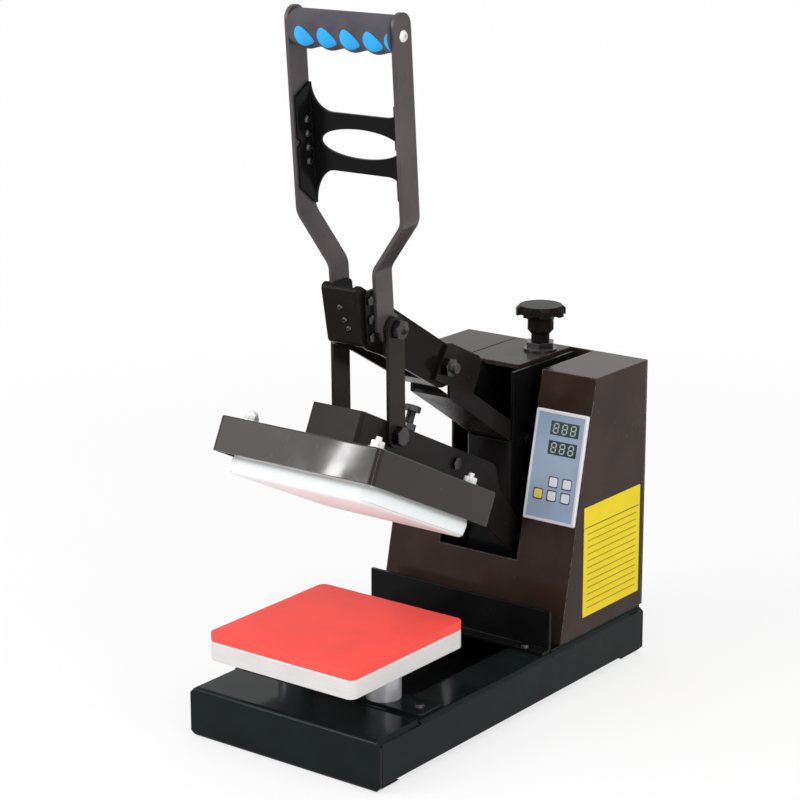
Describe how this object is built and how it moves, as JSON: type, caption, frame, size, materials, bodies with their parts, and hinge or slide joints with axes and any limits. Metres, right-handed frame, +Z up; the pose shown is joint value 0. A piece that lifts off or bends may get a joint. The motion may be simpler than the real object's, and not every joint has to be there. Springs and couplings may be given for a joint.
{
  "type": "heat press",
  "caption": "Benchtop heat press with a toggle handle, hinged heating head, padded square platen, sloped control box and a pressure knob on the tower.",
  "frame": {"origin": "centre of the base on the bench it stands on", "axes": "+X to the control box's side (the user's right), -Y to the front where the platen is, +Z up"},
  "size_m": [0.2, 0.4067, 0.6073],
  "materials": {
    "black_coat": "glossy powder coat",
    "leg_coat": "satin powder coat",
    "housing_coat": "high gloss powder coat",
    "tower_coat": "glossy powder coat",
    "link_coat": "satin powder coat",
    "cast_platen": "fine cast, light",
    "red_silicone": "matte",
    "bright_zinc": "zinc plated",
    "turned_steel": "turned",
    "heater_board": "rough board",
    "heater_plate": "cast",
    "element_sheath": "oxidised",
    "white_ptfe": "smooth white non-stick",
    "black_knob": "moulded",
    "foam_sleeve": "matte foam",
    "blue_inserts": "soft",
    "case_plastic": "moulded",
    "bezel_plastic": "moulded",
    "panel_film": "printed film",
    "display_window": "dark window",
    "yellow_key": "moulded",
    "white_keys": "moulded",
    "rocker_plastic": "moulded"
  },
  "bodies": {
    "root": {"front_channel": "black_coat", "rear_channel": "black_coat", "left_rail": "black_coat", "right_rail": "black_coat", "cross_bar": "black_coat", "posts": "black_coat", "guard_plate": "black_coat", "deck_plate": "black_coat", "column": "black_coat", "fork": "black_coat", "front_cover": "tower_coat", "box_wall": "tower_coat", "rear_cover": "tower_coat", "top_plate": "tower_coat", "lower_platen": "cast_platen", "silicone_pad": "red_silicone", "base_screws": "bright_zinc", "fork_bolts": "bright_zinc", "arm_pivot_bolt": "bright_zinc", "toggle_pivot_bolt": "bright_zinc", "knob_bush": "bright_zinc", "cover_screws": "bright_zinc", "pressure_nut": "turned_steel", "controller_case": "case_plastic", "power_inlet": "case_plastic", "switch_frame": "case_plastic", "controller_bezel": "bezel_plastic", "controller_panel": "panel_film", "displays": "display_window"},
    "handle": {"upper_arm": "black_coat", "left_leg": "leg_coat", "right_leg": "leg_coat", "leg_spacers": "black_coat", "handle_brace": "leg_coat", "handle_screws": "bright_zinc", "grip_bar": "turned_steel", "grip_sleeve": "foam_sleeve", "finger_inserts": "blue_inserts", "grip_screws": "bright_zinc", "knee_pin": "bright_zinc"},
    "links": {"left_link": "link_coat", "right_link": "link_coat", "link_pins": "bright_zinc"},
    "head": {"platen_arm": "black_coat", "arm_ties": "black_coat", "arm_screws": "bright_zinc", "heater_housing": "housing_coat", "insulation_board": "heater_board", "heating_plate": "heater_plate", "heating_element": "element_sheath", "ptfe_cover": "white_ptfe", "housing_bolts": "bright_zinc"},
    "knob": {"pressure_knob": "black_knob", "pressure_screw": "turned_steel"},
    "rocker": {"power_rocker": "rocker_plastic"},
    "set_key": {"set_key": "yellow_key"},
    "up_key": {"up_key": "white_keys"},
    "down_key": {"down_key": "white_keys"},
    "mode_key": {"mode_key": "white_keys"},
    "timer_key": {"timer_key": "white_keys"}
  },
  "joints": [
    {"name": "handle_pivot", "type": "hinge", "parent": "root", "child": "handle", "pos_m": [0, -0.001, 0.2985], "axis": [1, 0, 0], "range_deg": [0, 67.39]},
    {"name": "head_pivot", "type": "hinge", "parent": "root", "child": "head", "pos_m": [0, 0.102, 0.118], "axis": [1, 0, 0], "range_deg": [0, 25.6]},
    {"name": "link_pivot", "type": "hinge", "parent": "handle", "child": "links", "pos_m": [0, -0.082, 0.348], "axis": [-1, 0, 0], "range_deg": [0, 98.6]},
    {"name": "knob_turn", "type": "hinge", "parent": "root", "child": "knob", "pos_m": [0, 0.173, 0.284], "axis": [0, 0, 1], "range_deg": [-540, 540]},
    {"name": "rocker_tilt", "type": "hinge", "parent": "root", "child": "rocker", "pos_m": [0.062, 0.199, 0.124], "axis": [1, 0, 0], "range_deg": [0, 20]},
    {"name": "set_key_press", "type": "slide", "parent": "root", "child": "set_key", "axis": [0, 0.9762, -0.2168], "range_m": [0, 0.0008], "stiffness_N_per_m": 400},
    {"name": "up_key_press", "type": "slide", "parent": "root", "child": "up_key", "axis": [0, 0.9762, -0.2168], "range_m": [0, 0.0008], "stiffness_N_per_m": 400},
    {"name": "down_key_press", "type": "slide", "parent": "root", "child": "down_key", "axis": [0, 0.9762, -0.2168], "range_m": [0, 0.0008], "stiffness_N_per_m": 400},
    {"name": "mode_key_press", "type": "slide", "parent": "root", "child": "mode_key", "axis": [0, 0.9762, -0.2168], "range_m": [0, 0.0008], "stiffness_N_per_m": 400},
    {"name": "timer_key_press", "type": "slide", "parent": "root", "child": "timer_key", "axis": [0, 0.9762, -0.2168], "range_m": [0, 0.0008], "stiffness_N_per_m": 400}
  ],
  "couplings": [
    {"joint": "head_pivot", "follows": "handle_pivot", "ratio": 0.37973},
    {"joint": "link_pivot", "follows": "handle_pivot", "ratio": 1.4622}
  ]
}
